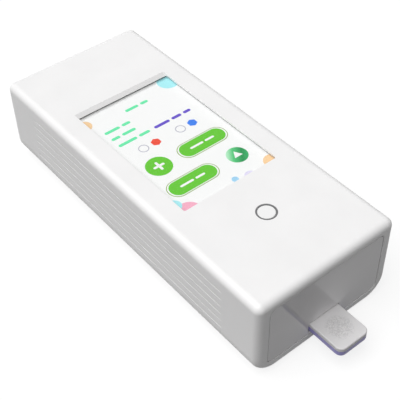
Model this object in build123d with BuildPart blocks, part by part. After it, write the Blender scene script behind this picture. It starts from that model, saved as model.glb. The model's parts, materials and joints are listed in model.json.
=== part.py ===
from build123d import *
import os

# Rapid test reader, millimetres. +Z is up and the card slot faces -Y. The origin is under the middle of
# the footprint, test card included, at the level the rubber pads stand on.

# ---- Driving dimensions: casing ----
case_length = 200.0      # front face to rear face
case_width = 82.2
case_height = 47.9       # without the rubber pads
edge_radius = 3.8        # along the long top edges
end_radius = 3.7         # round each end face
grip_radius = 12.0       # along the long bottom edges, where the hand goes
wall = 2.2               # top and sides
end_wall = 3.0           # front and rear walls
floor_wall = 2.6         # bottom cover
mouth_reach = 2.0        # casing's mouth goes this far past the flat of the underside
rim_wall = 1.2           # cover's locating rim
rim_height = 2.0
fit_gap = 0.15           # loose moulded fit
snug_gap = 0.05          # running or push fit

# Rubber pads
pad_radius = 5.0
pad_thickness = 1.4
pad_rise = 0.6           # pads stand this far out of the cover
pad_edge = 0.3
pad_x = 20.0
pad_margin = 24.0        # pads' centres from each end

# Side grip grooves
groove_count = 6
groove_pitch = 4.85
groove_width = 0.9
groove_depth = 0.15
groove_top_drop = 9.3    # highest groove below the top face
groove_end_margin = 24.0

# End panels
panel_side = 6.7         # panel's edges in from the casing's sides
panel_foot = 6.4         # panel's lower edge above the casing's underside
panel_head = 5.3         # panel's upper edge below the top face
panel_corner = 3.0
panel_thickness = 1.4
panel_edge = 0.25
panel_recess = 1.5
panel_gap = 0.35
ledge = 1.6              # casing's ledge behind the panel's edges
ledge_corner = 1.4
hook_width = 7.0
hook_thickness = 1.2
hook_barb = 0.6
hook_length = 1.2
hook_spread = 44.0

# Display
window_side = 12.9       # casing beside the window
window_length = 86.45
window_front = 64.75     # window's front edge behind the front face
window_corner = 1.0
window_depth = 1.0       # glass below the top face
ramp_run = 2.85          # sloped rear edge of the window
ramp_land = 0.2          # its upright foot, above the glass
glass_lap = 3.0
glass_thickness = 1.1
glass_corner = 1.5
gasket_thickness = 0.5
gasket_band = 1.6
lcd_lap = 2.6            # display module beyond the window, all round
lcd_thickness = 3.0
lcd_corner = 0.8
bracket_sheet = 1.0
bracket_side = 3.6
bracket_opening_inset = 9.0
display_boss_reach = 34.0  # display bosses ahead of and behind the window's centre
boss_wall_gap = 1.6      # between the side bosses and the casing's wall
flex_width = 24.0
flex_sheet = 0.2
flex_loop = 3.0
flex_landing = 6.0

# Push button
button_back = 40.7       # button's centre behind the front face
button_radius = 4.3
button_crown = 0.25
button_flange = 1.1      # wider than the cap
button_flange_height = 0.7
ring_band = 0.8          # light ring's visible width
ring_flange = 1.8
ring_flange_height = 0.6
plunger_radius = 1.6
plunger_height = 0.7
switch_side = 6.0
switch_height = 3.5
switch_corner = 0.6
press_travel = 0.4
press_clearance = 0.2    # left under the plunger at full travel
key_boss_x = 10.5
key_board_length = 12.0
key_board_corner = 1.5

# Boards and bosses
board_thickness = 1.2
board_margin = 0.5       # board beyond the bosses that carry it
board_boss_margin = 5.0  # bosses' centres from the ends of their board
main_board_thickness = 1.6
main_board_length = 80.0
main_board_reach = 15.0  # board's rear end behind the display's
main_board_drop = 6.4    # board's underside below the display bracket
main_board_corner = 2.0
shield_spot = (-14.0, 32.5)  # across, and in front of the main board's rear end
shield_side = 22.0
shield_height = 2.4
shield_sheet = 0.3
vent_pitch = 5.0
vent_radius = 0.7
vent_rows = 3
buzzer_side = 15.3       # buzzer's centre from the main board's side edge
buzzer_front = 10.0      # and from its front end
buzzer_radius = 6.0
buzzer_height = 5.0
buzzer_hole_radius = 1.0
buzzer_hole_depth = 0.8
boss_radius = 2.5
casing_boss_radius = 3.25
casing_boss_gap = 0.5    # to the cover's rim
casing_boss_margin = 8.5

# Chips on the main board: across, in front of its rear end, width, length and height. First: under the shield.
chips = (
    (*shield_spot, 13.0, 13.0, 1.2), (12.0, 26.0, 9.0, 9.0, 1.0), (14.0, 46.0, 7.0, 12.0, 1.0),
    (-20.0, 64.0, 6.0, 8.0, 1.4), (4.0, 68.0, 5.0, 5.0, 0.9), (24.0, 66.0, 10.0, 6.0, 2.0),
)

# Small screws, M2 x 4, and casing screws, M2.5 x 8
small_thread = 1.0
small_head_radius = 1.8
small_head_height = 1.3
small_length = 4.0
large_thread = 1.25
large_head_radius = 2.3
large_head_height = 1.6
large_length = 8.0
drive_radius = 0.7
drive_depth = 0.8
thread_gap = 0.02
through_gap = 0.2

# Test card
card_overhang = 19.6     # how far the card stands out of the front face
card_length = 75.0
card_width = 18.4
card_thickness = 5.0
card_lower_thickness = 3.0
card_height = 8.7        # card's underside above the casing's underside
card_tip_radius = 3.3
card_tail_radius = 1.2
card_edge = 0.6
thumb_radius = 4.8
thumb_back = 10.0        # thumb patch's centre behind the card's tip
thumb_depth = 0.2
well_radius = 2.6        # sample well at its rim
well_floor_radius = 1.7
well_angle = 60.0
well_back = 31.5
reader_window_width = 3.4
reader_window_length = 13.0
reader_window_corner = 0.8
reader_window_back = 54.5
strip_width = 4.0
strip_length = 60.0
strip_thickness = 0.6
strip_tail = 4.0         # strip's end ahead of the card's tail
strip_channel_depth = 0.8
slot_gap = 0.5

# Card guide, the leaf spring under it and the sensor at its end
guide_gap = 0.25
guide_wall = 1.8
guide_floor = 1.6
guide_lip = 1.3
guide_lip_height = 1.2
guide_stop = 1.8
guide_ear_front = 16.0   # ears' centres from the guide's front end
guide_ear_rear = 10.0    # and from its rear end
ear_width = 5.6
ear_length = 8.0
ear_height = 2.0
ear_root = 1.0
spring_width = 5.0
spring_sheet = 0.25
spring_foot = 6.0        # flat against the guide's underside, ahead of the slot
spring_length = 26.0     # slot that the spring rises through
spring_start = 1.0       # where it begins to rise, behind the slot's front end
spring_ramp = 7.0
spring_crest = 4.0
spring_tip_gap = 4.0
sensor_size = 3.2
sensor_inset = 0.3
sensor_tail = 1.5

# Scanning optics
base_wall = 2.5
base_plate = 3.0
base_front_back = 12.5   # front plate behind the front face
base_inner_half = 19.0
base_rail_height = 10.5
base_ear_front = 14.0
base_ear_rear = 11.0
plate_crown = 5.0        # plates' top edge above the screw's axis
rod_radius = 1.5
rod_x = 13.0
rod_height = 22.5        # rod axis above the casing's underside
screw_radius = 1.5
screw_inset = 0.5        # screw's ends short of what they run in
motor_radius = 6.0
motor_length = 10.0
motor_end_wall = 2.0
motor_edge = 0.6
motor_flange = 1.0
motor_flange_reach = 2.0
motor_flange_drop = 0.5  # flange's top edge below the plate's
motor_flange_corner = 1.0
bush_wall = 1.3
carriage_length = 22.0
carriage_half = 17.0
carriage_thickness = 7.0
carriage_start = 1.5     # clearance to the plates at both ends of the travel
carriage_rim = 2.0       # carriage ahead of the optic block
scan_travel = 24.0
block_width = 14.0
block_length = 12.0
block_over_guide = 1.0
block_height = 9.6
nut_wall = 1.5
nut_arm = 4.0
nut_arm_wall = 1.5
nut_arm_gap = 0.8        # nut's arm below the key board that it passes under
optic_bore = 2.5
lens_rise = 5.2
lens_thickness = 1.6
lens_edge = 0.5
filter_gap = 0.6
filter_thickness = 1.0
led_radius = 1.5
led_length = 3.6
led_reach = 6.4          # lamp's front end from the strip, along its tilted axis
led_tilt = 35.0

# Battery
cell_radius = 9.2
cell_length = 65.2
cell_edge = 0.6
cell_pitch = 19.4
battery_rear = 35.8      # cells' rear ends ahead of the rear face
tray_wall = 1.4
tray_floor = 1.5
tray_side = 12.0
tray_ear_margin = 10.0
contact_sheet = 0.4
contact_gap = 0.1
contact_foot = 0.4
contact_height = 10.0

# Rear socket
socket_width = 9.0
socket_height = 3.3
socket_depth = 7.4
socket_inset = 0.3       # socket's mouth behind the panel's face
socket_shell = 0.35
socket_back = 1.0
socket_rise = 13.0       # socket's underside above the casing's underside
tongue_inset = 0.9       # behind the socket's mouth
tongue_side_gap = 1.2
tongue_height = 0.7
io_board_width = 26.0
io_board_length = 16.0
io_board_gap = 0.3       # behind the rear wall
io_boss_margin = 3.0

# ---- Levels and places worked out from them ----
base_z = pad_rise
top_z = base_z + case_height
ceiling_z = top_z - wall
floor_z = base_z + floor_wall
front_y = -(case_length - card_overhang) / 2
rear_y = front_y + case_length
mid_y = (front_y + rear_y) / 2
mouth_half = case_width / 2 - grip_radius + mouth_reach
casing_boss_x = mouth_half - fit_gap - rim_wall - casing_boss_gap - casing_boss_radius

panel_width = case_width - 2 * panel_side
panel_height = case_height - panel_foot - panel_head
panel_mid_z = base_z + panel_foot + panel_height / 2
front_panel_y = front_y + panel_recess - panel_thickness
rear_panel_y = rear_y - panel_recess + panel_thickness
window_width = case_width - 2 * window_side
window_y = front_y + window_front + window_length / 2
button_y = front_y + button_back
glass_z = top_z - window_depth
glass_width = window_width + 2 * glass_lap
glass_length = window_length + 2 * glass_lap
gasket_z = glass_z - glass_thickness
lcd_width = window_width + 2 * lcd_lap
lcd_length = window_length + 2 * lcd_lap
lcd_top_z = gasket_z - gasket_thickness
lcd_low_z = lcd_top_z - lcd_thickness
bracket_z = lcd_low_z - bracket_sheet

ring_radius = button_radius + snug_gap + ring_band
ring_low_z = ceiling_z - ring_flange_height
flange_top_z = ring_low_z - snug_gap
cap_low_z = flange_top_z - button_flange_height
switch_top_z = cap_low_z - plunger_height
key_board_z = switch_top_z - switch_height
key_board_width = 2 * (key_boss_x + boss_radius + board_margin)

card_low_z = base_z + card_height
card_split_z = card_low_z + card_lower_thickness
card_top_z = card_low_z + card_thickness
card_mid_z = (card_low_z + card_top_z) / 2
tip_y = front_y - card_overhang
tail_y = tip_y + card_length
card_mid_y = (tip_y + tail_y) / 2
strip_low_z = card_split_z - strip_channel_depth
strip_mid_y = tail_y - strip_tail - strip_length / 2

ear_z = floor_z + rim_height + fit_gap  # ears pass over the cover's rim
guide_front_y = front_y + end_wall + fit_gap
guide_stop_y = tail_y + guide_gap
guide_rear_y = guide_stop_y + guide_stop
channel_half = card_width / 2 + guide_gap
guide_half = channel_half + guide_wall
guide_top_z = card_top_z + guide_gap + guide_lip_height
guide_floor_z = card_low_z - guide_gap - guide_floor
guide_ear_x = guide_half + ear_width / 2
guide_ear_ys = (guide_front_y + guide_ear_front, guide_rear_y - guide_ear_rear)
spring_slot_y = guide_stop_y - spring_length

base_length = 2 * base_plate + carriage_length + scan_travel + 2 * carriage_start
plate_front_y = front_y + base_front_back
plate_rear_y = plate_front_y + base_length
rod_z = base_z + rod_height
nut_radius = screw_radius + snug_gap + nut_wall
screw_z = key_board_z - board_thickness - nut_arm_gap - nut_arm_wall - nut_radius
plate_top_z = screw_z + plate_crown
base_half = base_inner_half + base_wall
base_ear_x = base_half + ear_width / 2
base_ear_ys = (plate_front_y + base_ear_front, plate_rear_y - base_ear_rear)
carriage_front_y = plate_front_y + base_plate + carriage_start
carriage_y = carriage_front_y + carriage_length / 2
carriage_low_z = rod_z - carriage_thickness / 2
carriage_high_z = rod_z + carriage_thickness / 2
block_low_z = guide_top_z + block_over_guide
block_y = carriage_front_y + carriage_rim + block_length / 2
nut_arm_y = carriage_front_y + carriage_length - nut_arm / 2
bush_radius = rod_radius + snug_gap + bush_wall
focus_z = strip_low_z + strip_thickness
lens_z = block_low_z + lens_rise

cells_rear_y = rear_y - battery_rear
cells_front_y = cells_rear_y - cell_length
cells_mid_y = (cells_front_y + cells_rear_y) / 2
cell_z = floor_z + tray_floor + fit_gap + cell_radius
tray_half = cell_pitch / 2 + cell_radius + fit_gap + tray_wall
tray_inner = cell_length + 2 * (contact_sheet + 2 * contact_gap)
tray_length = tray_inner + 2 * tray_wall
tray_ear_x = tray_half + ear_width / 2
tray_ear_ys = (cells_front_y + tray_ear_margin, cells_rear_y - tray_ear_margin)

side_boss_x = case_width / 2 - wall - boss_radius - boss_wall_gap
display_boss_ys = (window_y - display_boss_reach, window_y + display_boss_reach)
board_width = 2 * (side_boss_x + boss_radius)
board_rear_y = window_y + lcd_length / 2 + main_board_reach
board_y = board_rear_y - main_board_length / 2
board_z = bracket_z - main_board_drop
board_top_z = board_z + main_board_thickness
board_boss_reach = main_board_length / 2 - board_boss_margin
board_boss_ys = (board_y - board_boss_reach, board_y + board_boss_reach)
socket_z = base_z + socket_rise
socket_mid_z = socket_z + socket_height / 2
socket_mouth_y = rear_panel_y - socket_inset
io_board_z = socket_z - board_thickness
io_board_y = rear_y - end_wall - io_board_gap - io_board_length / 2
io_boss_x = io_board_width / 2 - io_boss_margin
io_boss_y = io_board_y - io_board_length / 2 + board_boss_margin


def on_both_sides(x, ys):
    """Spots at each y, left and right of the middle."""
    return [(side * x, y) for side in (-1, 1) for y in ys]


pad_spots = on_both_sides(pad_x, (front_y + pad_margin, rear_y - pad_margin))
casing_screw_spots = on_both_sides(casing_boss_x, (front_y + casing_boss_margin, rear_y - casing_boss_margin))
guide_screw_spots = on_both_sides(guide_ear_x, guide_ear_ys)
base_screw_spots = on_both_sides(base_ear_x, base_ear_ys)
tray_screw_spots = on_both_sides(tray_ear_x, tray_ear_ys)
floor_screw_spots = guide_screw_spots + base_screw_spots + tray_screw_spots
io_screw_spots = on_both_sides(io_boss_x, (io_boss_y,))
display_screw_spots = on_both_sides(side_boss_x, display_boss_ys)
board_screw_spots = on_both_sides(side_boss_x, board_boss_ys)
key_screw_spots = on_both_sides(key_boss_x, (button_y,))
rod_spots = ((-rod_x, rod_z), (rod_x, rod_z))


def facing_front(y):
    """Upright plane at y, seen from the front: X to the right and Z up."""
    return Plane.XZ.offset(-y)


def casing_section(y, inset):
    """Cross-section of the casing on an upright sketch, inset from its skin."""
    with BuildSketch(facing_front(y)) as section:
        with Locations((0, base_z + case_height / 2)):
            Rectangle(case_width - 2 * inset, case_height - 2 * inset)
        fillet(section.vertices().group_by(Axis.Y)[-1], radius=edge_radius - inset)
        fillet(section.vertices().group_by(Axis.Y)[0], radius=grip_radius - inset)
    return section.sketch


def panel_outline(y, grow, corner, depth, mode=Mode.ADD):
    """End panel's outline at y, grown by a margin, extruded by depth: rearwards where it is negative."""
    with BuildSketch(facing_front(y)) as outline:
        with Locations((0, panel_mid_z)):
            RectangleRounded(panel_width + 2 * grow, panel_height + 2 * grow, corner)
    extrude(outline.sketch, amount=depth, mode=mode)


def posts(spots, z, radius, height, mode=Mode.ADD):
    """Round posts or holes at the spots, from level z upwards, or downwards where height is negative."""
    with BuildSketch(Plane.XY.offset(z)) as rounds:
        with Locations(*spots):
            Circle(radius)
    extrude(rounds.sketch, amount=height, mode=mode)


def block(width, length, height, x, y, z, mode=Mode.ADD):
    """Upright block centred on x and y, with its underside at z."""
    with BuildSketch(Plane.XY.offset(z)) as base:
        with Locations((x, y)):
            Rectangle(width, length)
    extrude(base.sketch, amount=height, mode=mode)


def rods(spots, y, radius, length, bore=0, mode=Mode.ADD):
    """Round rods along Y from y rearwards, at spots given as x and z, with a bore where one is given."""
    with BuildSketch(facing_front(y)) as rounds:
        with Locations(*spots):
            Circle(radius)
            if bore:
                Circle(bore, mode=Mode.SUBTRACT)
    extrude(rounds.sketch, amount=-length, mode=mode)


def ears(spots):
    """Screw ears rooted in the side walls of a base, each with its screw hole."""
    for x, y in spots:
        inward = -1 if x > 0 else 1
        block(ear_width + ear_root, ear_length, ear_height, x + inward * ear_root / 2, y, ear_z)
    posts(spots, ear_z, small_thread + through_gap, ear_height, Mode.SUBTRACT)


def snap_hooks(y, inward):
    """Hooks behind an end panel that catch behind the casing's ledge; inward is +1 towards +Y."""
    opening_half = panel_height / 2 - ledge
    reach = end_wall - panel_recess + fit_gap
    for side in (-1, 1):
        root_z = panel_mid_z + side * (opening_half - fit_gap - hook_thickness / 2)
        barb_z = panel_mid_z + side * (opening_half - fit_gap + (hook_barb - hook_thickness) / 2)
        for x in (-hook_spread / 2, hook_spread / 2):
            with BuildSketch(facing_front(y)) as stem:
                with Locations((x, root_z)):
                    Rectangle(hook_width, hook_thickness)
            extrude(stem.sketch, amount=-inward * (reach + hook_length))
            with BuildSketch(facing_front(y + inward * reach)) as barb:
                with Locations((x, barb_z)):
                    Rectangle(hook_width, hook_thickness + hook_barb)
            extrude(barb.sketch, amount=-inward * hook_length)


def card_plate(z, height):
    """Plate of the card's outline on level z, with wide round corners at the tip and small ones at the tail."""
    with BuildSketch(Plane.XY.offset(z)) as outline:
        with Locations((0, card_mid_y)):
            Rectangle(card_width, card_length)
        fillet(outline.vertices().group_by(Axis.Y)[0], radius=card_tip_radius)
        fillet(outline.vertices().group_by(Axis.Y)[-1], radius=card_tail_radius)
    extrude(outline.sketch, amount=height)


# ---- Casing ----
with BuildPart() as envelope:
    extrude(casing_section(front_y, 0), amount=-case_length)
    end_faces = envelope.faces().group_by(Axis.Y)
    fillet(end_faces[0].edges() + end_faces[-1].edges(), radius=end_radius)

with BuildPart() as top_casing:
    add(envelope.part)
    split(bisect_by=Plane.XY.offset(floor_z), keep=Keep.TOP)
    extrude(casing_section(front_y + end_wall, wall), amount=-(case_length - 2 * end_wall), mode=Mode.SUBTRACT)
    block(2 * mouth_half, case_length - 2 * end_wall, wall, 0, mid_y, floor_z, Mode.SUBTRACT)
    # Display window, its seat for the glass and its sloped rear edge
    with BuildSketch(Plane.XY.offset(top_z)):
        with Locations((0, window_y)):
            RectangleRounded(window_width, window_length, window_corner)
    extrude(amount=-wall, mode=Mode.SUBTRACT)
    block(glass_width + 2 * fit_gap, glass_length + 2 * fit_gap, glass_z - ceiling_z,
          0, window_y, ceiling_z, Mode.SUBTRACT)
    with BuildSketch(Plane.YZ):
        with BuildLine():
            rear_edge = window_y + window_length / 2
            foot_z = glass_z + ramp_land
            Polyline((rear_edge - window_corner, top_z), (rear_edge + ramp_run, top_z), (rear_edge, foot_z),
                     (rear_edge - window_corner, foot_z), close=True)
        make_face()
    extrude(amount=window_width / 2, both=True, mode=Mode.SUBTRACT)
    # Button hole
    posts([(0, button_y)], top_z, ring_radius + snug_gap, -wall, Mode.SUBTRACT)
    # Seats for the end panels, with a ledge behind each
    for face_y, inward in ((front_y, 1), (rear_y, -1)):
        panel_outline(face_y, panel_gap, panel_corner + panel_gap, -inward * panel_recess, Mode.SUBTRACT)
        panel_outline(face_y, -ledge, ledge_corner, -inward * end_wall, Mode.SUBTRACT)
    # Bosses under the top wall and beside the mouth, and their screw holes
    for spots, low_z, radius, thread, depth in (
        (casing_screw_spots, floor_z, casing_boss_radius, large_thread, large_length),
        (display_screw_spots, bracket_z + bracket_sheet, boss_radius, small_thread, small_length),
        (board_screw_spots, board_top_z, boss_radius, small_thread, small_length),
        (key_screw_spots, key_board_z, boss_radius, small_thread, small_length),
    ):
        posts(spots, low_z, radius, ceiling_z - low_z)
        posts(spots, low_z, thread + thread_gap, depth, Mode.SUBTRACT)
    # Lengthwise grip grooves in both sides
    groove_z = top_z - groove_top_drop - (groove_count - 1) * groove_pitch / 2
    for side in (-1, 1):
        with BuildSketch(Plane.YZ.offset(side * case_width / 2)):
            with Locations((mid_y, groove_z)):
                with GridLocations(0, groove_pitch, 1, groove_count):
                    SlotOverall(case_length - 2 * groove_end_margin, groove_width)
        extrude(amount=-side * groove_depth, mode=Mode.SUBTRACT)

with BuildPart() as bottom_cover:
    add(envelope.part)
    split(bisect_by=Plane.XY.offset(floor_z), keep=Keep.BOTTOM)
    # Locating rim that stands up inside the casing's mouth
    rim_width = 2 * (mouth_half - fit_gap)
    rim_length = case_length - 2 * (end_wall + fit_gap)
    with BuildSketch(Plane.XY.offset(floor_z)):
        with Locations((0, mid_y)):
            Rectangle(rim_width, rim_length)
            Rectangle(rim_width - 2 * rim_wall, rim_length - 2 * rim_wall, mode=Mode.SUBTRACT)
    extrude(amount=rim_height)
    # The rim stops short of the card guide, which starts right behind the front panel
    block(2 * (guide_half + fit_gap), 2 * rim_wall, rim_height, 0, guide_front_y + rim_wall / 2, floor_z,
          Mode.SUBTRACT)
    posts(floor_screw_spots, floor_z, boss_radius, ear_z - floor_z)
    posts(io_screw_spots, floor_z, boss_radius, io_board_z - floor_z)
    posts(floor_screw_spots, ear_z, small_thread + thread_gap, -(small_length - ear_height + fit_gap),
          Mode.SUBTRACT)
    posts(io_screw_spots, io_board_z, small_thread + thread_gap, -small_length, Mode.SUBTRACT)
    posts(casing_screw_spots, base_z, large_thread + through_gap, floor_wall, Mode.SUBTRACT)
    posts(casing_screw_spots, base_z, large_head_radius + through_gap, large_head_height, Mode.SUBTRACT)
    posts(pad_spots, base_z, pad_radius + snug_gap, pad_thickness - pad_rise, Mode.SUBTRACT)

with BuildPart() as front_panel:
    panel_outline(front_panel_y, 0, panel_corner, -panel_thickness)
    fillet(front_panel.faces().sort_by(Axis.Y)[0].edges(), radius=panel_edge)
    snap_hooks(front_y + panel_recess, 1)
    with BuildSketch(facing_front(front_y)):
        with Locations((0, card_mid_z)):
            RectangleRounded(card_width + 2 * slot_gap, card_thickness + 2 * slot_gap, slot_gap)
    extrude(amount=-end_wall, mode=Mode.SUBTRACT)

with BuildPart() as rear_panel:
    panel_outline(rear_panel_y, 0, panel_corner, panel_thickness)
    fillet(rear_panel.faces().sort_by(Axis.Y)[-1].edges(), radius=panel_edge)
    snap_hooks(rear_y - panel_recess, -1)
    with BuildSketch(facing_front(rear_y)):
        with Locations((0, socket_mid_z)):
            SlotOverall(socket_width + 2 * slot_gap, socket_height + 2 * slot_gap)
    extrude(amount=end_wall, mode=Mode.SUBTRACT)

with BuildPart() as foot_pads:
    posts(pad_spots, 0, pad_radius, pad_thickness)
    fillet(foot_pads.faces().group_by(Axis.Z)[0].edges(), radius=pad_edge)

with BuildPart() as casing_screws:
    head_z = base_z + large_head_height
    posts(casing_screw_spots, head_z, large_head_radius, -large_head_height + snug_gap)
    posts(casing_screw_spots, head_z, large_thread, large_length)
    posts(casing_screw_spots, base_z + snug_gap, drive_radius, drive_depth, Mode.SUBTRACT)

# ---- Display ----
with BuildPart() as display_window:
    with BuildSketch(Plane.XY.offset(glass_z)):
        with Locations((0, window_y)):
            RectangleRounded(glass_width, glass_length, glass_corner)
    extrude(amount=-glass_thickness)

with BuildPart() as display_gasket:
    with BuildSketch(Plane.XY.offset(gasket_z)):
        with Locations((0, window_y)):
            Rectangle(lcd_width, lcd_length)
            Rectangle(lcd_width - 2 * gasket_band, lcd_length - 2 * gasket_band, mode=Mode.SUBTRACT)
    extrude(amount=-gasket_thickness)

with BuildPart() as lcd_module:
    block(lcd_width, lcd_length, lcd_thickness, 0, window_y, lcd_low_z)
    fillet(lcd_module.edges().filter_by(Axis.Z), radius=lcd_corner)

with BuildPart() as display_bracket:
    tray_width = lcd_width + 2 * (fit_gap + bracket_sheet)
    ear_reach = side_boss_x + boss_radius - tray_width / 2
    block(tray_width, lcd_length, bracket_sheet, 0, window_y, bracket_z)
    block(lcd_width - 2 * bracket_opening_inset, lcd_length - 2 * bracket_opening_inset, bracket_sheet,
          0, window_y, bracket_z, Mode.SUBTRACT)
    for side in (-1, 1):
        block(bracket_sheet, lcd_length, bracket_side, side * (tray_width - bracket_sheet) / 2, window_y, bracket_z)
        for ear_y in display_boss_ys:
            block(ear_reach, 2 * boss_radius, bracket_sheet, side * (tray_width + ear_reach) / 2, ear_y, bracket_z)
    posts(display_screw_spots, bracket_z, small_thread + through_gap, bracket_sheet, Mode.SUBTRACT)

# ---- Button ----
with BuildPart() as button_light_ring:
    posts([(0, button_y)], ring_low_z, ring_radius + ring_flange, ring_flange_height)
    posts([(0, button_y)], ring_low_z, ring_radius, top_z - ring_low_z)
    posts([(0, button_y)], ring_low_z, button_radius + snug_gap, top_z - ring_low_z, Mode.SUBTRACT)

with BuildPart() as power_button:
    posts([(0, button_y)], cap_low_z, button_radius + button_flange, button_flange_height)
    posts([(0, button_y)], cap_low_z, button_radius, top_z - cap_low_z)
    crown_edge = power_button.faces().sort_by(Axis.Z)[-1].edges()
    chamfer(crown_edge, length=button_crown)

with BuildPart() as switch_plunger:
    posts([(0, button_y)], switch_top_z, plunger_radius, plunger_height)

with BuildPart() as key_switch:
    block(switch_side, switch_side, switch_height - snug_gap, 0, button_y, key_board_z)
    fillet(key_switch.edges().filter_by(Axis.Z), radius=switch_corner)
    posts([(0, button_y)], switch_top_z, plunger_radius + snug_gap, -(press_travel + press_clearance),
          Mode.SUBTRACT)

with BuildPart() as key_board:
    with BuildSketch(Plane.XY.offset(key_board_z)):
        with Locations((0, button_y)):
            RectangleRounded(key_board_width, key_board_length, key_board_corner)
    extrude(amount=-board_thickness)
    posts(key_screw_spots, key_board_z, small_thread + through_gap, -board_thickness, Mode.SUBTRACT)

# ---- Main board and its parts ----
with BuildPart() as main_board:
    with BuildSketch(Plane.XY.offset(board_z)):
        with Locations((0, board_y)):
            RectangleRounded(board_width, main_board_length, main_board_corner)
    extrude(amount=main_board_thickness)
    posts(board_screw_spots, board_z, small_thread + through_gap, main_board_thickness, Mode.SUBTRACT)

with BuildPart() as processor_shield:
    shield_x = shield_spot[0]
    shield_y = board_rear_y - shield_spot[1]
    shield_inner = shield_side - 2 * shield_sheet
    block(shield_side, shield_side, shield_height, shield_x, shield_y, board_top_z)
    block(shield_inner, shield_inner, shield_height - shield_sheet, shield_x, shield_y, board_top_z, Mode.SUBTRACT)
    with BuildSketch(Plane.XY.offset(board_top_z + shield_height)):
        with Locations((shield_x, shield_y)):
            with GridLocations(vent_pitch, vent_pitch, vent_rows, vent_rows):
                Circle(vent_radius)
    extrude(amount=-shield_sheet, mode=Mode.SUBTRACT)

with BuildPart() as board_chips:
    for x, forward, width, length, height in chips:
        block(width, length, height, x, board_rear_y - forward, board_top_z)

with BuildPart() as buzzer:
    buzzer_place = [(board_width / 2 - buzzer_side, board_y - main_board_length / 2 + buzzer_front)]
    posts(buzzer_place, board_z, buzzer_radius, -buzzer_height)
    posts(buzzer_place, board_z - buzzer_height, buzzer_hole_radius, buzzer_hole_depth, Mode.SUBTRACT)

with BuildPart() as display_flex:
    flex_rear_y = window_y + lcd_length / 2
    flex_high_z = lcd_low_z + lcd_thickness / 2
    with BuildSketch(Plane.YZ):
        with BuildLine():
            Polyline((flex_rear_y, flex_high_z), (flex_rear_y + flex_loop, flex_high_z),
                     (flex_rear_y + flex_loop, board_top_z), (flex_rear_y - flex_landing, board_top_z),
                     (flex_rear_y - flex_landing, board_top_z + flex_sheet),
                     (flex_rear_y + flex_loop - flex_sheet, board_top_z + flex_sheet),
                     (flex_rear_y + flex_loop - flex_sheet, flex_high_z - flex_sheet),
                     (flex_rear_y, flex_high_z - flex_sheet), close=True)
        make_face()
    extrude(amount=flex_width / 2, both=True)

# ---- Battery ----
with BuildPart() as battery_cells:
    rods(((-cell_pitch / 2, cell_z), (cell_pitch / 2, cell_z)), cells_front_y, cell_radius, cell_length)
    fillet(battery_cells.edges().filter_by(GeomType.CIRCLE), radius=cell_edge)

with BuildPart() as battery_tray:
    block(2 * tray_half, tray_length, tray_floor + tray_side, 0, cells_mid_y, floor_z)
    block(2 * (tray_half - tray_wall), tray_inner, tray_side, 0, cells_mid_y, floor_z + tray_floor, Mode.SUBTRACT)
    ears(tray_screw_spots)

with BuildPart() as battery_contacts:
    contact_mid_z = floor_z + tray_floor + contact_foot + contact_height / 2
    for end_y, outward in ((cells_front_y, -1), (cells_rear_y, 1)):
        with BuildSketch(facing_front(end_y + outward * contact_gap)):
            with Locations((0, contact_mid_z)):
                Rectangle(cell_pitch + cell_radius, contact_height)
        extrude(amount=-outward * contact_sheet)

# ---- Rear socket ----
with BuildPart() as io_board:
    block(io_board_width, io_board_length, board_thickness, 0, io_board_y, io_board_z)
    posts(io_screw_spots, io_board_z, small_thread + through_gap, board_thickness, Mode.SUBTRACT)

with BuildPart() as charge_socket:
    with BuildSketch(facing_front(socket_mouth_y)):
        with Locations((0, socket_mid_z)):
            SlotOverall(socket_width, socket_height)
    extrude(amount=socket_depth)
    with BuildSketch(facing_front(socket_mouth_y)):
        with Locations((0, socket_mid_z)):
            SlotOverall(socket_width - 2 * socket_shell, socket_height - 2 * socket_shell)
    extrude(amount=socket_depth - socket_back, mode=Mode.SUBTRACT)
    with BuildSketch(facing_front(socket_mouth_y - tongue_inset)):
        with Locations((0, socket_mid_z)):
            Rectangle(socket_width - 2 * tongue_side_gap, tongue_height)
    extrude(amount=socket_depth - tongue_inset)

# ---- Test card ----
with BuildPart() as card_lower_shell:
    card_plate(card_low_z, card_lower_thickness)
    fillet(card_lower_shell.faces().sort_by(Axis.Z)[0].edges(), radius=card_edge)
    block(strip_width + 2 * fit_gap, strip_length + 2 * fit_gap, strip_channel_depth, 0, strip_mid_y, strip_low_z,
          Mode.SUBTRACT)

with BuildPart() as card_upper_shell:
    card_plate(card_split_z, card_thickness - card_lower_thickness)
    fillet(card_upper_shell.faces().sort_by(Axis.Z)[-1].edges(), radius=card_edge)
    posts([(0, tip_y + thumb_back)], card_top_z, thumb_radius, -thumb_depth, Mode.SUBTRACT)
    with Locations(Location((0, tip_y + well_back, card_top_z))):
        CounterSinkHole(well_floor_radius, well_radius, counter_sink_angle=well_angle)
    with BuildSketch(Plane.XY.offset(card_split_z)):
        with Locations((0, tip_y + reader_window_back)):
            RectangleRounded(reader_window_width, reader_window_length, reader_window_corner)
    extrude(amount=card_thickness - card_lower_thickness, mode=Mode.SUBTRACT)

with BuildPart() as test_strip:
    block(strip_width, strip_length, strip_thickness, 0, strip_mid_y, strip_low_z)

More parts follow.
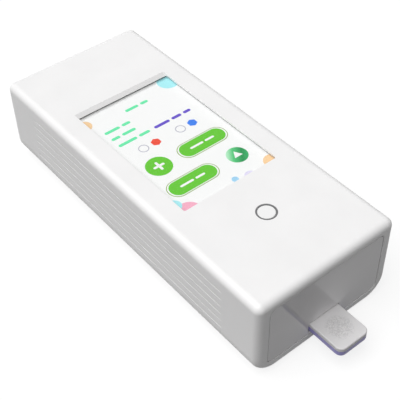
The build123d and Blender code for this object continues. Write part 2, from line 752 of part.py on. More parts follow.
# ---- Card guide ----
with BuildPart() as card_guide:
    with BuildSketch(facing_front(guide_front_y)):
        with BuildLine():
            lip_low_z = card_top_z + guide_gap
            bed_z = guide_floor_z + guide_floor
            Polyline((guide_half, floor_z), (guide_half, guide_top_z), (channel_half - guide_lip, guide_top_z),
                     (channel_half - guide_lip, lip_low_z), (channel_half, lip_low_z), (channel_half, bed_z),
                     (0, bed_z), (0, guide_floor_z), (channel_half, guide_floor_z), (channel_half, floor_z),
                     close=True)
        make_face()
        mirror(about=Plane.YZ)
    extrude(amount=-(guide_rear_y - guide_front_y))
    # End stop, with a hole for the sensor
    with BuildSketch(facing_front(guide_stop_y)):
        with Locations((0, (guide_floor_z + guide_top_z) / 2)):
            Rectangle(2 * guide_half, guide_top_z - guide_floor_z)
        with Locations((0, card_mid_z)):
            Rectangle(sensor_size + 2 * snug_gap, sensor_size + 2 * snug_gap, mode=Mode.SUBTRACT)
    extrude(amount=-guide_stop)
    ears(guide_screw_spots)
    # Slot that the leaf spring rises through
    block(spring_width + 2 * fit_gap, spring_length, guide_floor, 0, spring_slot_y + spring_length / 2,
          guide_floor_z, Mode.SUBTRACT)

with BuildPart() as card_spring:
    low_z = guide_floor_z - spring_sheet
    crest_z = card_low_z - snug_gap - spring_sheet
    rise_y = spring_slot_y + spring_start
    crest_y = rise_y + spring_ramp
    with BuildSketch(Plane.YZ):
        with BuildLine():
            path = [(spring_slot_y - spring_foot, low_z), (rise_y, low_z), (crest_y, crest_z),
                    (crest_y + spring_crest, crest_z), (guide_stop_y - spring_tip_gap, guide_floor_z)]
            Polyline(*path, *[(y, z + spring_sheet) for y, z in reversed(path)], close=True)
        make_face()
    extrude(amount=spring_width / 2, both=True)

with BuildPart() as card_sensor:
    with BuildSketch(facing_front(guide_stop_y + sensor_inset)):
        with Locations((0, card_mid_z)):
            Rectangle(sensor_size, sensor_size)
    extrude(amount=-(guide_stop - sensor_inset + sensor_tail))

# ---- Scanning optics ----
with BuildPart() as optics_base:
    for plate_y in (plate_front_y, plate_rear_y - base_plate):
        with BuildSketch(facing_front(plate_y)):
            with Locations((0, (floor_z + plate_top_z) / 2)):
                Rectangle(2 * base_half, plate_top_z - floor_z)
            with Locations((0, (floor_z + guide_top_z + fit_gap) / 2)):
                Rectangle(2 * base_inner_half, guide_top_z + fit_gap - floor_z, mode=Mode.SUBTRACT)
            with Locations(*rod_spots):
                Circle(rod_radius + thread_gap, mode=Mode.SUBTRACT)
            with Locations((0, screw_z)):
                Circle(nut_radius, mode=Mode.SUBTRACT)
        extrude(amount=-base_plate)
    for side in (-1, 1):
        block(base_wall, base_length, base_rail_height, side * (base_half - base_wall / 2),
              (plate_front_y + plate_rear_y) / 2, floor_z)
    ears(base_screw_spots)

with BuildPart() as guide_rods:
    rods(rod_spots, plate_front_y, rod_radius, base_length)

with BuildPart() as screw_bearing:
    rods([(0, screw_z)], plate_front_y, nut_radius - thread_gap, base_plate, bore=screw_radius + snug_gap)

with BuildPart() as scan_motor:
    with BuildSketch(facing_front(plate_rear_y)):
        with Locations((0, screw_z)):
            RectangleRounded(2 * (motor_radius + motor_flange_reach), 2 * (plate_crown - motor_flange_drop),
                             motor_flange_corner)
    extrude(amount=-motor_flange)
    rods([(0, screw_z)], plate_rear_y, motor_radius, motor_length)
    fillet(scan_motor.faces().sort_by(Axis.Y)[-1].edges(), radius=motor_edge)
    rods([(0, screw_z)], plate_rear_y, screw_radius + snug_gap, motor_length - motor_end_wall,
         mode=Mode.SUBTRACT)

with BuildPart() as lead_screw:
    rods([(0, screw_z)], plate_front_y + screw_inset, screw_radius,
         base_length + motor_length - motor_end_wall - 2 * screw_inset)

with BuildPart() as scan_carriage:
    block(2 * carriage_half, carriage_length, carriage_thickness, 0, carriage_y, carriage_low_z)
    block(block_width + 2 * fit_gap, block_length + 2 * fit_gap, carriage_thickness, 0, block_y, carriage_low_z,
          Mode.SUBTRACT)
    block(2 * (nut_radius + nut_arm_wall), nut_arm, screw_z + nut_radius + nut_arm_wall - carriage_high_z,
          0, nut_arm_y, carriage_high_z)
    rods(rod_spots, carriage_front_y, bush_radius + thread_gap, carriage_length, mode=Mode.SUBTRACT)
    rods([(0, screw_z)], nut_arm_y - nut_arm / 2, nut_radius + thread_gap, nut_arm, mode=Mode.SUBTRACT)

with BuildPart() as carriage_bushes:
    rods(rod_spots, carriage_front_y, bush_radius, carriage_length, bore=rod_radius + snug_gap)

with BuildPart() as carriage_nut:
    rods([(0, screw_z)], nut_arm_y - nut_arm / 2, nut_radius, nut_arm, bore=screw_radius + snug_gap)

with BuildPart() as optic_block:
    block(block_width, block_length, block_height, 0, block_y, block_low_z)
    # Upright bore for the light that comes back, and a tilted one for the lamp that crosses it at the strip
    posts([(0, block_y)], block_low_z, optic_bore, block_height, Mode.SUBTRACT)
    led_plane = Plane(origin=(0, block_y, focus_z)).rotated((0, led_tilt, 0))
    led_start = (block_low_z - focus_z) / 2
    with BuildSketch(led_plane.offset(led_start)):
        Circle(led_radius + snug_gap)
    extrude(amount=2 * block_height, mode=Mode.SUBTRACT)

with BuildPart() as excitation_lamp:
    with BuildSketch(led_plane.offset(led_reach)):
        Circle(led_radius)
    extrude(amount=led_length)

with BuildPart() as collector_lens:
    posts([(0, block_y)], lens_z, optic_bore - snug_gap, lens_thickness)
    fillet(collector_lens.edges().filter_by(GeomType.CIRCLE), radius=lens_edge)

with BuildPart() as emission_filter:
    posts([(0, block_y)], lens_z + lens_thickness + filter_gap, optic_bore - snug_gap, filter_thickness)

with BuildPart() as detector_board:
    block(block_width, block_length, board_thickness, 0, block_y, block_low_z + block_height)

# ---- Small screws, all alike ----
with BuildPart() as small_screws:
    for spots, z, up in (
        (floor_screw_spots, ear_z + ear_height, 1),
        (io_screw_spots, io_board_z + board_thickness, 1),
        (display_screw_spots, bracket_z, -1),
        (board_screw_spots, board_z, -1),
        (key_screw_spots, key_board_z - board_thickness, -1),
    ):
        posts(spots, z, small_head_radius, up * small_head_height)
        posts(spots, z, small_thread, -up * small_length)

os.makedirs("parts", exist_ok=True)
pieces = {
    "top_casing": top_casing, "bottom_cover": bottom_cover, "front_panel": front_panel,
    "rear_panel": rear_panel, "foot_pads": foot_pads, "casing_screws": casing_screws,
    "display_window": display_window, "display_gasket": display_gasket, "lcd_module": lcd_module,
    "display_bracket": display_bracket, "button_light_ring": button_light_ring, "power_button": power_button,
    "switch_plunger": switch_plunger, "key_switch": key_switch, "key_board": key_board,
    "main_board": main_board, "processor_shield": processor_shield, "board_chips": board_chips,
    "buzzer": buzzer, "display_flex": display_flex, "battery_cells": battery_cells,
    "battery_tray": battery_tray, "battery_contacts": battery_contacts, "io_board": io_board,
    "charge_socket": charge_socket, "card_lower_shell": card_lower_shell, "card_upper_shell": card_upper_shell,
    "test_strip": test_strip, "card_guide": card_guide, "card_spring": card_spring, "card_sensor": card_sensor,
    "optics_base": optics_base, "guide_rods": guide_rods, "screw_bearing": screw_bearing,
    "scan_motor": scan_motor, "lead_screw": lead_screw, "scan_carriage": scan_carriage,
    "carriage_bushes": carriage_bushes, "carriage_nut": carriage_nut, "optic_block": optic_block,
    "excitation_lamp": excitation_lamp, "collector_lens": collector_lens, "emission_filter": emission_filter,
    "detector_board": detector_board, "small_screws": small_screws,
}
for name, piece in pieces.items():
    piece.part.label = name
    export_step(piece.part, f"parts/{name}.step")
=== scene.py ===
import json
import math
import random

import bmesh
import bpy
from mathutils import Matrix, Vector

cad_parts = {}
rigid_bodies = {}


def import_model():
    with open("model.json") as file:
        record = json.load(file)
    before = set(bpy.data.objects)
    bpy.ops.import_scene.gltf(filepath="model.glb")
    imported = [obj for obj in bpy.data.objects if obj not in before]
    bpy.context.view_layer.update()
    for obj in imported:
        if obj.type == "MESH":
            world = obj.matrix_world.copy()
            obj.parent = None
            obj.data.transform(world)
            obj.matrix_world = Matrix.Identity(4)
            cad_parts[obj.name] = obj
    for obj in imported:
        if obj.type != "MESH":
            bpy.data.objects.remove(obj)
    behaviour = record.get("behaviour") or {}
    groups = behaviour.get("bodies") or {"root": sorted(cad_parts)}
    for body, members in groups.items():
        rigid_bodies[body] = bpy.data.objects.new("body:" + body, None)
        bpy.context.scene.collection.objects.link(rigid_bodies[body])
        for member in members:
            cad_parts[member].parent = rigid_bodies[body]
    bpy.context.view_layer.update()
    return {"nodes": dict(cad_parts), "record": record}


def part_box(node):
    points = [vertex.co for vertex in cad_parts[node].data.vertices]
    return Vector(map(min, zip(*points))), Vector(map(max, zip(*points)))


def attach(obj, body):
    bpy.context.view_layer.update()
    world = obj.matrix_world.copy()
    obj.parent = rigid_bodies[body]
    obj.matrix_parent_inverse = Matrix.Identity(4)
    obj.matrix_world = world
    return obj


# Rapid test reader: finishes, the picture on its display and the grip on its test card. Blender works in
# metres, and sizes here are written in millimetres times MM.
MM = 0.001
LCD_GLOW = 0.30    # the display's own light
LCD_BODY = 0.72    # and its share of the light that falls on it
THUMB_RADIUS = 4.8 * MM        # the shallow round recess in the card's top, where the thumb pushes it in
THUMB_DEPTH = 0.2 * MM
THUMB_INSET = 10.0 * MM        # from the card's front end to the middle of the recess
SPECKLE_RADIUS = 7.0 * MM      # the speckled and studded area in the recess and round it
EMERALD_KEY = (17.0, -27.5)    # middle of the shaded key in the picture, in millimetres from the display's
# The slope behind the display and the grip grooves, in millimetres: the boxes in which painted shade darkens
# the casing
SLOPE_BOX = (-28.3, 60.9, 47.0), (28.3, 63.9, 49.0)
GROOVE_BOXES = (
    ((-41.096, -80.0, 14.0), (-40.954, 100.0, 40.0)),
    ((40.954, -80.0, 14.0), (41.096, 100.0, 40.0)),
)
# The one lamp: from the left, high up and a little behind
LAMP_TOWARDS = (-0.43, 0.11, 0.90)
LAMP_STRENGTH = 2.76
LAMP_SPREAD = 60               # degrees

for leftover in list(bpy.data.objects):
    bpy.data.objects.remove(leftover)

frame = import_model()


# ---- Camera, at the photograph's viewing angle ----
def set_up_camera():
    azimuth, elevation, roll = (math.radians(angle) for angle in (-38.46, 44.80, -1.18))
    place = Vector((-199.57, -252.65, 338.09)) * MM
    focal_length_px = 898.22
    frame_width_px = 400
    back = Vector((math.sin(azimuth) * math.cos(elevation), -math.cos(azimuth) * math.cos(elevation),
                   math.sin(elevation)))
    right = Vector((0, 0, 1)).cross(back).normalized()
    up = back.cross(right)
    across = math.cos(roll) * right + math.sin(roll) * up
    upright = -math.sin(roll) * right + math.cos(roll) * up
    lens = bpy.data.cameras.new("camera")
    lens.sensor_width = 36.0
    lens.lens = focal_length_px / frame_width_px * lens.sensor_width
    camera = bpy.data.objects.new("camera", lens)
    bpy.context.scene.collection.objects.link(camera)
    camera.matrix_world = Matrix.Translation(place) @ Matrix((across, upright, back)).transposed().to_4x4()
    bpy.context.scene.camera = camera


# ---- Finishes ----
class Finish:
    """A material being made: its nodes, its shader and the Object coordinates that its patterns read."""

    def __init__(self, name, roughness, metallic=0.0, ior=1.5):
        self.material = bpy.data.materials.new(name)
        self.material.use_nodes = True
        self.nodes = self.material.node_tree.nodes
        self.links = self.material.node_tree.links
        self.shader = self.nodes["Principled BSDF"]
        self.set("Roughness", roughness)
        self.set("Metallic", metallic)
        self.set("IOR", ior)
        self.place = self.nodes.new("ShaderNodeTexCoord").outputs["Object"]

    def set(self, socket, value):
        self.shader.inputs[socket].default_value = value

    def stretched(self, stretch):
        """Object coordinates, each axis scaled by its stretch."""
        mapping = self.nodes.new("ShaderNodeMapping")
        mapping.inputs["Scale"].default_value = stretch
        self.links.new(self.place, mapping.inputs["Vector"])
        return mapping.outputs["Vector"]

    def noise(self, size, detail=2.0, place=None):
        """Noise with features about this large."""
        texture = self.nodes.new("ShaderNodeTexNoise")
        texture.inputs["Scale"].default_value = 1 / size
        texture.inputs["Detail"].default_value = detail
        self.links.new(place or self.place, texture.inputs["Vector"])
        return texture.outputs["Fac"]

    def cells(self, size):
        """Distance within irregular cells about this large."""
        texture = self.nodes.new("ShaderNodeTexVoronoi")
        texture.inputs["Scale"].default_value = 1 / size
        self.links.new(self.place, texture.inputs["Vector"])
        return texture.outputs["Distance"]

    def stripes(self, pitch, axis, place=None):
        """Even stripes across one axis, one for each pitch."""
        texture = self.nodes.new("ShaderNodeTexWave")
        texture.bands_direction = axis
        texture.inputs["Scale"].default_value = math.pi / (10 * pitch)
        self.links.new(place or self.place, texture.inputs["Vector"])
        return texture.outputs["Fac"]

    def spread(self, value, low, high, to_low, to_high):
        """The value's range from low to high, spread over another range."""
        node = self.nodes.new("ShaderNodeMapRange")
        sockets = ("From Min", "From Max", "To Min", "To Max")
        for socket, number in zip(sockets, (low, high, to_low, to_high)):
            node.inputs[socket].default_value = number
        self.links.new(value, node.inputs["Value"])
        return node.outputs["Result"]

    def ramp(self, value, stops):
        """Colours at the stops, each a position and a colour."""
        node = self.nodes.new("ShaderNodeValToRGB")
        elements = node.color_ramp.elements
        while len(elements) < len(stops):
            elements.new(0.5)
        for element, (position, colour) in zip(elements, stops):
            element.position = position
            element.color = (*colour, 1.0)
        self.links.new(value, node.inputs["Fac"])
        return node.outputs["Color"]

    def paint(self, value, *stops):
        self.links.new(self.ramp(value, stops), self.shader.inputs["Base Color"])

    def combine(self, operation, first, second):
        """One sum on two values, each a socket or a number."""
        node = self.nodes.new("ShaderNodeMath")
        node.operation = operation
        for socket, value in zip(node.inputs, (first, second)):
            if isinstance(value, (int, float)):
                socket.default_value = value
            else:
                self.links.new(value, socket)
        return node.outputs[0]

    def within(self, box, soft):
        """1 inside the box of two corners in millimetres, fading to 0 over the soft distance round it."""
        low, high = (Vector(corner) * MM for corner in box)
        parts = self.nodes.new("ShaderNodeSeparateXYZ")
        self.links.new(self.place, parts.inputs[0])
        inside = 1.0
        for axis, value in enumerate(parts.outputs):
            past_low = self.spread(value, low[axis] - soft, low[axis], 0, 1)
            inside = self.combine("MULTIPLY", past_low, inside)
            short_of_high = self.spread(value, high[axis], high[axis] + soft, 1, 0)
            inside = self.combine("MULTIPLY", short_of_high, inside)
        return inside

    def distance_from(self, centre):
        """Level distance from an upright line through the centre."""
        moved = self.nodes.new("ShaderNodeMapping")
        moved.inputs["Scale"].default_value = (1, 1, 0)
        moved.inputs["Location"].default_value = (-centre[0], -centre[1], 0)
        self.links.new(self.place, moved.inputs["Vector"])
        length = self.nodes.new("ShaderNodeVectorMath")
        length.operation = "LENGTH"
        self.links.new(moved.outputs["Vector"], length.inputs[0])
        return length.outputs["Value"]

    def tint(self, share, factor):
        """Base colour multiplied by the factor where the share is 1."""
        socket = self.shader.inputs["Base Color"]
        before = socket.links[0].from_socket
        darker = self.nodes.new("ShaderNodeMix")
        darker.data_type = "RGBA"
        darker.blend_type = "MULTIPLY"
        self.links.new(share, darker.inputs["Factor"])
        colours = [item for item in darker.inputs if item.type == "RGBA"]
        self.links.new(before, colours[0])
        colours[1].default_value = (factor, factor, factor, 1)
        self.links.new([item for item in darker.outputs if item.type == "RGBA"][0], socket)

    def wear(self, value, low, high):
        """Roughness that varies with the value."""
        self.links.new(self.spread(value, 0.3, 0.7, low, high), self.shader.inputs["Roughness"])

    def glow(self, value, *stops):
        """Light of the display's own, in the colours at the stops, on a face without shine."""
        self.links.new(self.ramp(value, stops), self.shader.inputs["Emission Color"])
        self.set("Emission Strength", LCD_GLOW)
        self.set("Specular IOR Level", 0.0)

    def relief(self, value, depth):
        bump = self.nodes.new("ShaderNodeBump")
        bump.inputs["Strength"].default_value = 1.0
        bump.inputs["Distance"].default_value = depth
        self.links.new(value, bump.inputs["Height"])
        self.links.new(bump.outputs["Normal"], self.shader.inputs["Normal"])


def shade(colour, factor):
    return tuple(min(1.0, c * factor) for c in colour)


def moulded_plastic(name, colour, roughness, grain=0.35 * MM, depth=0.006 * MM, mottle=0.015, ior=1.5):
    """Moulded plastic: a fine spark-eroded grain and a faint cloudiness from the mould."""
    finish = Finish(name, roughness, ior=ior)
    clouds = finish.noise(18 * MM, detail=3.0)
    finish.paint(clouds, (0.3, shade(colour, 1 - mottle)), (0.7, shade(colour, 1 + mottle)))
    finish.wear(clouds, roughness * 0.92, roughness * 1.08)
    finish.relief(finish.noise(grain, detail=3.0), depth)
    return finish


def brushed_metal(name, colour, roughness):
    """Drawn or rolled metal with fine lines along Y."""
    along = (1, 0.03, 1)
    finish = Finish(name, roughness, metallic=1.0)
    lines = finish.noise(0.25 * MM, detail=4.0, place=finish.stretched(along))
    finish.paint(lines, (0.25, shade(colour, 0.88)), (0.75, shade(colour, 1.08)))
    finish.wear(lines, roughness * 0.8, roughness * 1.25)
    finish.relief(lines, 0.004 * MM)
    return finish


def rubber(name, colour):
    finish = Finish(name, 0.85)
    specks = finish.noise(0.5 * MM, detail=4.0)
    finish.paint(specks, (0.3, shade(colour, 0.85)), (0.7, shade(colour, 1.12)))
    finish.relief(specks, 0.02 * MM)
    return finish


def closed_cell_foam(name, colour):
    finish = Finish(name, 0.95)
    bubbles = finish.cells(0.35 * MM)
    finish.paint(bubbles, (0.1, shade(colour, 0.6)), (0.7, shade(colour, 1.5)))
    finish.relief(bubbles, 0.05 * MM)
    return finish


def solder_mask(name, colour):
    """Green lacquer over copper tracks, which show as slightly paler lines."""
    finish = Finish(name, 0.38)
    tracks = finish.noise(2.2 * MM, detail=0.0, place=finish.stretched((1, 0.25, 1)))
    paler = shade(colour, 1.5)
    finish.paint(tracks, (0.44, colour), (0.47, paler), (0.53, paler), (0.56, colour))
    finish.relief(tracks, 0.02 * MM)
    return finish


def clear_pane(name, colour, alpha):
    """Clear glass or film, with the faintest haze of fingerprints in its polish. A low alpha is clearer."""
    roughness = 0.03
    finish = Finish(name, roughness)
    haze = finish.noise(9 * MM, detail=4.0)
    finish.paint(haze, (0.3, shade(colour, 0.98)), (0.7, colour))
    finish.wear(haze, roughness, roughness * 2)
    finish.set("Alpha", alpha)
    return finish


def paper(name, colour):
    finish = Finish(name, 0.9)
    fibres = finish.noise(0.3 * MM, detail=5.0, place=finish.stretched((1, 0.3, 1)))
    finish.paint(fibres, (0.3, shade(colour, 0.94)), (0.7, shade(colour, 1.04)))
    finish.relief(fibres, 0.02 * MM)
    return finish


def lit_colour(name, colour):
    """Colour of the lit display, with fine rows of dots: partly its own light, partly lit from outside."""
    finish = Finish(name, 0.5)
    dots = finish.stripes(0.17 * MM, "X")
    finish.paint(dots, (0.0, shade(colour, LCD_BODY * 0.96)), (1.0, shade(colour, LCD_BODY)))
    finish.glow(dots, (0.0, shade(colour, 0.97)), (1.0, colour))
    return finish


def dress(finish_of_slot):
    """Gives each CAD node the finish of its material slot in the record."""
    for part in frame["record"]["subparts"]:
        mesh = frame["nodes"][part["node"]].data
        mesh.materials.clear()
        mesh.materials.append(finish_of_slot[part["material_slot"]].material)


def make_finishes():
    steel = (0.60, 0.61, 0.63)
    finishes = {
        "casing_white": moulded_plastic("casing_white", (0.925, 0.92, 0.92), 0.42),
        "panel_white": moulded_plastic("panel_white", (0.87, 0.86, 0.87), 0.08, grain=2 * MM,
                                       depth=0.001 * MM, ior=1.36),
        "pad_rubber": rubber("pad_rubber", (0.24, 0.24, 0.25)),
        "screw_steel": brushed_metal("screw_steel", steel, 0.32),
        "window_glass": clear_pane("window_glass", (0.92, 0.94, 0.95), 0.03),
        "gasket_foam": closed_cell_foam("gasket_foam", (0.20, 0.20, 0.205)),
        "lcd_face": lit_colour("lcd_face", (0.98, 0.985, 0.98)),
        "bracket_steel": brushed_metal("bracket_steel", steel, 0.38),
        "ring_grey": moulded_plastic("ring_grey", (0.16, 0.16, 0.165), 0.35),
        "button_white": moulded_plastic("button_white", (0.92, 0.92, 0.92), 0.36),
        "switch_black": moulded_plastic("switch_black", (0.04, 0.04, 0.042), 0.5),
        "board_green": solder_mask("board_green", (0.03, 0.17, 0.09)),
        "shield_tin": brushed_metal("shield_tin", (0.72, 0.72, 0.70), 0.35),
        "chip_black": moulded_plastic("chip_black", (0.03, 0.03, 0.032), 0.55, depth=0.01 * MM),
        "flex_amber": moulded_plastic("flex_amber", (0.62, 0.28, 0.05), 0.28),
        "cell_wrap": moulded_plastic("cell_wrap", (0.06, 0.18, 0.36), 0.25),
        "tray_grey": moulded_plastic("tray_grey", (0.18, 0.185, 0.19), 0.55),
        "contact_nickel": brushed_metal("contact_nickel", (0.72, 0.70, 0.66), 0.3),
        "socket_steel": brushed_metal("socket_steel", steel, 0.28),
        "card_grey": moulded_plastic("card_grey", (0.72, 0.71, 0.715), 0.45, mottle=0.03),
        "card_lavender": moulded_plastic("card_lavender", (0.34, 0.31, 0.66), 0.4, mottle=0.04),
        "strip_paper": paper("strip_paper", (0.90, 0.90, 0.87)),
        "guide_grey": moulded_plastic("guide_grey", (0.25, 0.26, 0.28), 0.5),
        "spring_steel": brushed_metal("spring_steel", (0.55, 0.55, 0.54), 0.25),
        "optics_black": moulded_plastic("optics_black", (0.03, 0.03, 0.033), 0.6),
        "motor_can": brushed_metal("motor_can", (0.66, 0.66, 0.67), 0.3),
        "shaft_steel": brushed_metal("shaft_steel", (0.74, 0.74, 0.75), 0.15),
        "bush_brass": brushed_metal("bush_brass", (0.72, 0.56, 0.25), 0.28),
        "lens_glass": clear_pane("lens_glass", (0.93, 0.96, 0.97), 0.25),
        "filter_red": clear_pane("filter_red", (0.60, 0.06, 0.05), 0.6),
        "lamp_epoxy": clear_pane("lamp_epoxy", (0.80, 0.88, 0.95), 0.5),
    }
    # The slope behind the display gets painted shade: it is toned darker than the rest of the casing
    slope_painted_shade = 0.84
    casing = finishes["casing_white"]
    casing.tint(casing.within(SLOPE_BOX, 0.1 * MM), slope_painted_shade)
    # The steps of the grip grooves, just inside both sides, get painted shade, so that they don't show as
    # bright lines in the light
    groove_painted_shade = 0.70
    for box in GROOVE_BOXES:
        casing.tint(casing.within(box, 0.003 * MM), groove_painted_shade)
    # The thumb patch on the card is speckled
    speck_tone = 0.83
    card = finishes["card_grey"]
    specks = card.spread(card.noise(0.9 * MM, detail=3.0), 0.42, 0.60, 0, 1)
    patch = card.spread(card.distance_from(thumb_patch_centre()), SPECKLE_RADIUS * 0.8, SPECKLE_RADIUS, 1, 0)
    card.tint(card.combine("MULTIPLY", specks, patch), speck_tone)
    return finishes


# ---- New pieces ----
def thumb_patch_centre():
    """Middle of the recess in the card's top, at the level of its floor."""
    low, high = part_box("card_upper_shell")
    return Vector((0, low.y + THUMB_INSET, high.z - THUMB_DEPTH))


def add_piece(name, bm, material, body):
    """Turns a bmesh into a piece that rides on a body and takes its finish from a slot."""
    bmesh.ops.recalc_face_normals(bm, faces=bm.faces)
    mesh = bpy.data.meshes.new(name)
    bm.to_mesh(mesh)
    bm.free()
    mesh.materials.append(material)
    piece = bpy.data.objects.new(name, mesh)
    bpy.context.scene.collection.objects.link(piece)
    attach(piece, body)


class Picture:
    """Generic picture on the display: thin shapes in layers on the display's face, under the cover glass."""

    layer = 0.04 * MM
    margin = 0.3 * MM    # bare strip along the display's edges

    def __init__(self):
        self.low, self.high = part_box("lcd_module")
        self.centre = (self.low + self.high) / 2
        self.shapes = {}    # a bmesh for each colour

    def shape(self, colour):
        if colour not in self.shapes:
            self.shapes[colour] = bmesh.new()
        return self.shapes[colour]

    def place(self, x, y, level):
        """Middle of a shape at x and y millimetres from the display's centre, on a layer."""
        z = self.high.z + (level + 0.5) * self.layer
        return Vector((self.centre.x + x * MM, self.centre.y + y * MM, z))

    def disc(self, colour, x, y, radius, level=0, sides=48):
        bmesh.ops.create_cone(self.shape(colour), cap_ends=True, segments=sides, radius1=radius * MM,
                              radius2=radius * MM, depth=self.layer,
                              matrix=Matrix.Translation(self.place(x, y, level)))

    def bar(self, colour, x, y, width, length, level=0):
        """Bar with round ends: width along X, length along Y."""
        bm = self.shape(colour)
        size = Matrix.Diagonal((width * MM, length * MM, self.layer, 1))
        cube = bmesh.ops.create_cube(bm, size=1.0, matrix=Matrix.Translation(self.place(x, y, level)) @ size)
        upright = {edge for vert in cube["verts"] for edge in vert.link_edges
                   if abs(edge.verts[0].co.z - edge.verts[1].co.z) > self.layer / 2}
        roundness = 0.98    # a full 1 would leave no flat between two corners
        bmesh.ops.bevel(bm, geom=list(upright), offset=min(width, length) / 2 * roundness * MM, segments=8,
                        profile=0.5, affect="EDGES", material=-1)

    def ring(self, colour, x, y, radius, width):
        bm = self.shape(colour)
        middle = self.place(x, y, 0)
        half = width / 2 * MM
        corners = [bm.verts.new(middle + Vector((radius * MM + dx, 0, dz)))
                   for dx, dz in ((-half, -self.layer / 2), (half, -self.layer / 2),
                                  (half, self.layer / 2), (-half, self.layer / 2))]
        sides = [bm.edges.new((corners[i - 1], corners[i])) for i in range(4)]
        bmesh.ops.spin(bm, geom=[*corners, *sides], cent=middle, axis=(0, 0, 1), angle=math.tau, steps=36,
                       use_merge=True)

    def trim(self, colour):
        """Cuts what stands over the display's edge."""
        bm = self.shape(colour)
        for point, outward in (
            (Vector((self.low.x + self.margin, 0, 0)), Vector((-1, 0, 0))),
            (Vector((self.high.x - self.margin, 0, 0)), Vector((1, 0, 0))),
            (Vector((0, self.low.y + self.margin, 0)), Vector((0, -1, 0))),
            (Vector((0, self.high.y - self.margin, 0)), Vector((0, 1, 0))),
        ):
            cut = bmesh.ops.bisect_plane(bm, geom=[*bm.verts, *bm.edges, *bm.faces], plane_co=point,
                                         plane_no=outward, clear_outer=True)
            edges = [item for item in cut["geom_cut"] if isinstance(item, bmesh.types.BMEdge)]
            if edges:
                bmesh.ops.edgeloop_fill(bm, edges=edges)


def make_picture():
    picture = Picture()
    colours = {
        "mint": (0.13, 0.86, 0.42), "indigo": (0.13, 0.07, 0.62), "leaf": (0.12, 0.60, 0.010),
        "leaf_line": (0.30, 0.44, 0.12), "white": (0.98, 0.985, 0.98), "blue": (0.03, 0.22, 0.90),
        "red": (0.90, 0.06, 0.02), "outline": (0.50, 0.50, 0.58), "cyan": (0.42, 0.90, 0.95),
        "pink": (0.95, 0.44, 0.58), "peach": (0.97, 0.66, 0.36), "sky": (0.36, 0.68, 0.92),
        "lavender": (0.78, 0.74, 0.94),
    }
    # Heading and list, as rows of bars. All places are in millimetres from the display's middle
    bar_height, bar_gap = 1.9, 1.5
    for y, x, colour, lengths in (
        (34.5, -5.0, "mint", (8.0, 4.6)), (26.5, -23.5, "mint", (9.0, 5.0)),
        (20.5, -23.5, "mint", (5.0, 8.0)), (14.5, -23.5, "mint", (11.0, 6.5)),
        (14.5, -1.5, "indigo", (9.5, 6.0, 4.5)),
    ):
        for length in lengths:
            picture.bar(colour, x + length / 2, y, length, bar_height)
            x += length + bar_gap
    # Two choices, each a ring and a six-sided mark
    choice_y, mark_step = 5.5, 7.6
    for x, mark in ((-15.0, "red"), (8.0, "blue")):
        picture.ring("outline", x, choice_y, 2.5, 0.5)
        picture.disc(mark, x + mark_step, choice_y, 2.7, sides=6)
    # Keys: two long ones set crosswise, and two round ones
    for x, y in ((10.0, -9.5), (-10.5, -27.5)):
        for colour, width, height, level in (
            ("leaf_line", 29.4, 11.4, 0), ("white", 28.5, 10.5, 1), ("leaf", 27.0, 9.6, 2),
        ):
            picture.bar(colour, x, y, width, height, level)
        for shift, width in ((-3.6, 8.0), (4.4, 5.6)):
            picture.bar("white", x + shift, y, width, 1.3, level=3)
    plus_key, plus_length, plus_width = (-17.0, -9.5), 6.4, 1.4
    picture.disc("leaf", *plus_key, 6.8)
    picture.bar("white", *plus_key, plus_length, plus_width, level=3)
    picture.bar("white", *plus_key, plus_width, plus_length, level=3)
    picture.disc("emerald", *EMERALD_KEY, 5.6)
    picture.disc("white", *EMERALD_KEY, 2.8, level=3, sides=3)
    # Pale discs that run over the picture's edges
    for colour, x, y, radius, level in (
        ("cyan", 27.0, 40.5, 6.0, 0), ("peach", -28.0, 38.0, 4.0, 0), ("pink", -25.0, -43.0, 6.5, 0),
        ("cyan", -28.0, -35.5, 3.6, 1), ("sky", 5.0, -40.0, 1.8, 0), ("lavender", 12.5, -42.5, 3.0, 0),
        ("peach", 27.5, -42.0, 5.0, 0),
    ):
        picture.disc(colour, x, y, radius, level)
    for colour in ("cyan", "peach", "pink", "sky", "lavender"):
        picture.trim(colour)
    for colour, bm in picture.shapes.items():
        name = "picture_" + colour
        finish = emerald_finish(name, picture) if colour == "emerald" else lit_colour(name, colours[colour])
        add_piece(name, bm, finish.material, "casing")


def emerald_finish(name, picture):
    """Green that shades from pale at the upper left to deep at the lower right, as on a glossy key."""
    finish = Finish(name, 0.5)
    fade = finish.nodes.new("ShaderNodeTexGradient")
    turned = finish.nodes.new("ShaderNodeMapping")
    turned.vector_type = "TEXTURE"
    turned.inputs["Location"].default_value = picture.place(*EMERALD_KEY, 0) + Vector((-5.2, 3.0, 0)) * MM
    turned.inputs["Rotation"].default_value = (0, 0, math.radians(-35))
    turned.inputs["Scale"].default_value = (11 * MM,) * 3
    finish.links.new(finish.place, turned.inputs["Vector"])
    finish.links.new(turned.outputs["Vector"], fade.inputs["Vector"])
    stops = ((0.0, (0.60, 0.96, 0.70)), (0.35, (0.08, 0.60, 0.20)), (0.75, (0.0, 0.30, 0.07)),
             (1.0, (0.02, 0.42, 0.12)))
    finish.paint(fade.outputs["Fac"], *[(position, shade(colour, LCD_BODY)) for position, colour in stops])
    finish.glow(fade.outputs["Fac"], *stops)
    return finish


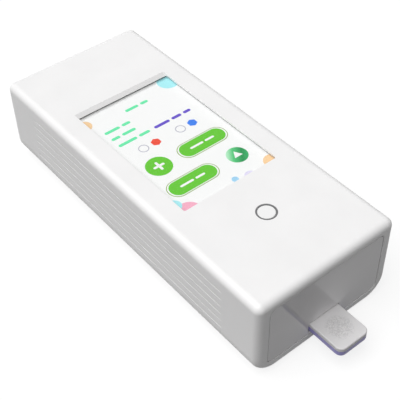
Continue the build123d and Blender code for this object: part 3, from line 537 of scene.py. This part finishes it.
def make_thumb_grip(material):
    """Low studs in the recess on the card and round it, all to one level just above the card's top."""
    stud_radius = 0.26 * MM
    stud_sides = 10
    stud_taper = 0.5    # top radius as a share of the foot's
    stud_rise = 0.05 * MM
    pitch = 0.85 * MM
    shift = 0.16 * MM
    centre = thumb_patch_centre()
    random.seed(7)
    bm = bmesh.new()
    rows = int(SPECKLE_RADIUS / pitch) + 2
    for row in range(-rows, rows + 1):
        for column in range(-rows, rows + 1):
            x = (column + 0.5 * (row % 2)) * pitch + random.uniform(-shift, shift)
            y = row * pitch * math.sqrt(0.75) + random.uniform(-shift, shift)
            reach = math.hypot(x, y)
            if reach > SPECKLE_RADIUS or abs(reach - THUMB_RADIUS) < stud_radius:
                continue
            foot = 0.0 if reach < THUMB_RADIUS else THUMB_DEPTH
            height = THUMB_DEPTH + stud_rise - foot
            bmesh.ops.create_cone(bm, cap_ends=True, segments=stud_sides, radius1=stud_radius,
                                  radius2=stud_radius * stud_taper, depth=height,
                                  matrix=Matrix.Translation(centre + Vector((x, y, foot + height / 2))))
    add_piece("thumb_grip_studs", bm, material, "test_card")


# ---- Floor and light ----
def share_of_seen_rays(nodes, links):
    """1 for rays that show the background: from the camera, and by mirror and clear surfaces."""
    rays = nodes.new("ShaderNodeLightPath")
    total = rays.outputs["Is Camera Ray"]
    for name in ("Is Glossy Ray", "Is Transmission Ray"):
        add = nodes.new("ShaderNodeMath")
        add.operation = "MAXIMUM"
        links.new(total, add.inputs[0])
        links.new(rays.outputs[name], add.inputs[1])
        total = add.outputs[0]
    return total


def make_floor():
    """White where it is seen, with the object's shadow, and dull in the light that it throws back."""
    reach = 3.0    # metres, so that its edge is out of sight
    thrown_tone, seen_tone, seen_glow = 0.07, 0.22, 0.82
    bm = bmesh.new()
    bmesh.ops.create_grid(bm, x_segments=1, y_segments=1, size=reach)
    mesh = bpy.data.meshes.new("floor")
    bm.to_mesh(mesh)
    bm.free()
    floor = bpy.data.objects.new("floor", mesh)
    bpy.context.scene.collection.objects.link(floor)
    material = bpy.data.materials.new("floor")
    material.use_nodes = True
    nodes, links = material.node_tree.nodes, material.node_tree.links
    dull = nodes["Principled BSDF"]
    dull.inputs["Roughness"].default_value = 0.9
    dull.inputs["Specular IOR Level"].default_value = 0.0
    dull.inputs["Base Color"].default_value = (thrown_tone, thrown_tone, thrown_tone, 1)
    pale = nodes.new("ShaderNodeBsdfDiffuse")
    pale.inputs["Color"].default_value = (seen_tone, seen_tone, seen_tone, 1)
    glow = nodes.new("ShaderNodeEmission")
    glow.inputs["Color"].default_value = (1, 1, 1, 1)
    glow.inputs["Strength"].default_value = seen_glow
    both = nodes.new("ShaderNodeAddShader")
    links.new(pale.outputs["BSDF"], both.inputs[0])
    links.new(glow.outputs["Emission"], both.inputs[1])
    choice = nodes.new("ShaderNodeMixShader")
    links.new(share_of_seen_rays(nodes, links), choice.inputs["Fac"])
    links.new(dull.outputs["BSDF"], choice.inputs[1])
    links.new(both.outputs["Shader"], choice.inputs[2])
    links.new(choice.outputs["Shader"], nodes["Material Output"].inputs["Surface"])
    mesh.materials.append(material)


def make_world():
    """White background where it is seen, and a weak even light from all round for the rest."""
    light_strength, seen_strength = 0.18, 1.0
    world = bpy.data.worlds.new("studio")
    bpy.context.scene.world = world
    world.use_nodes = True
    nodes, links = world.node_tree.nodes, world.node_tree.links
    soft = nodes["Background"]
    soft.inputs["Color"].default_value = (1, 1, 1, 1)
    soft.inputs["Strength"].default_value = light_strength
    white = nodes.new("ShaderNodeBackground")
    white.inputs["Color"].default_value = (1, 1, 1, 1)
    white.inputs["Strength"].default_value = seen_strength
    choice = nodes.new("ShaderNodeMixShader")
    links.new(share_of_seen_rays(nodes, links), choice.inputs["Fac"])
    links.new(soft.outputs["Background"], choice.inputs[1])
    links.new(white.outputs["Background"], choice.inputs[2])
    links.new(choice.outputs["Shader"], nodes["World Output"].inputs["Surface"])


def make_lamp():
    """Broad light from far away, which casts soft shadows."""
    light = bpy.data.lights.new("key", "SUN")
    light.energy = LAMP_STRENGTH
    light.angle = math.radians(LAMP_SPREAD)
    lamp = bpy.data.objects.new("key", light)
    lamp.rotation_mode = "QUATERNION"
    lamp.rotation_quaternion = Vector(LAMP_TOWARDS).normalized().to_track_quat("Z", "Y")
    bpy.context.scene.collection.objects.link(lamp)


set_up_camera()
finish_of_slot = make_finishes()
dress(finish_of_slot)
make_picture()
make_thumb_grip(finish_of_slot["card_grey"].material)
make_floor()
make_world()
make_lamp()
bpy.context.scene.view_settings.view_transform = "Standard"
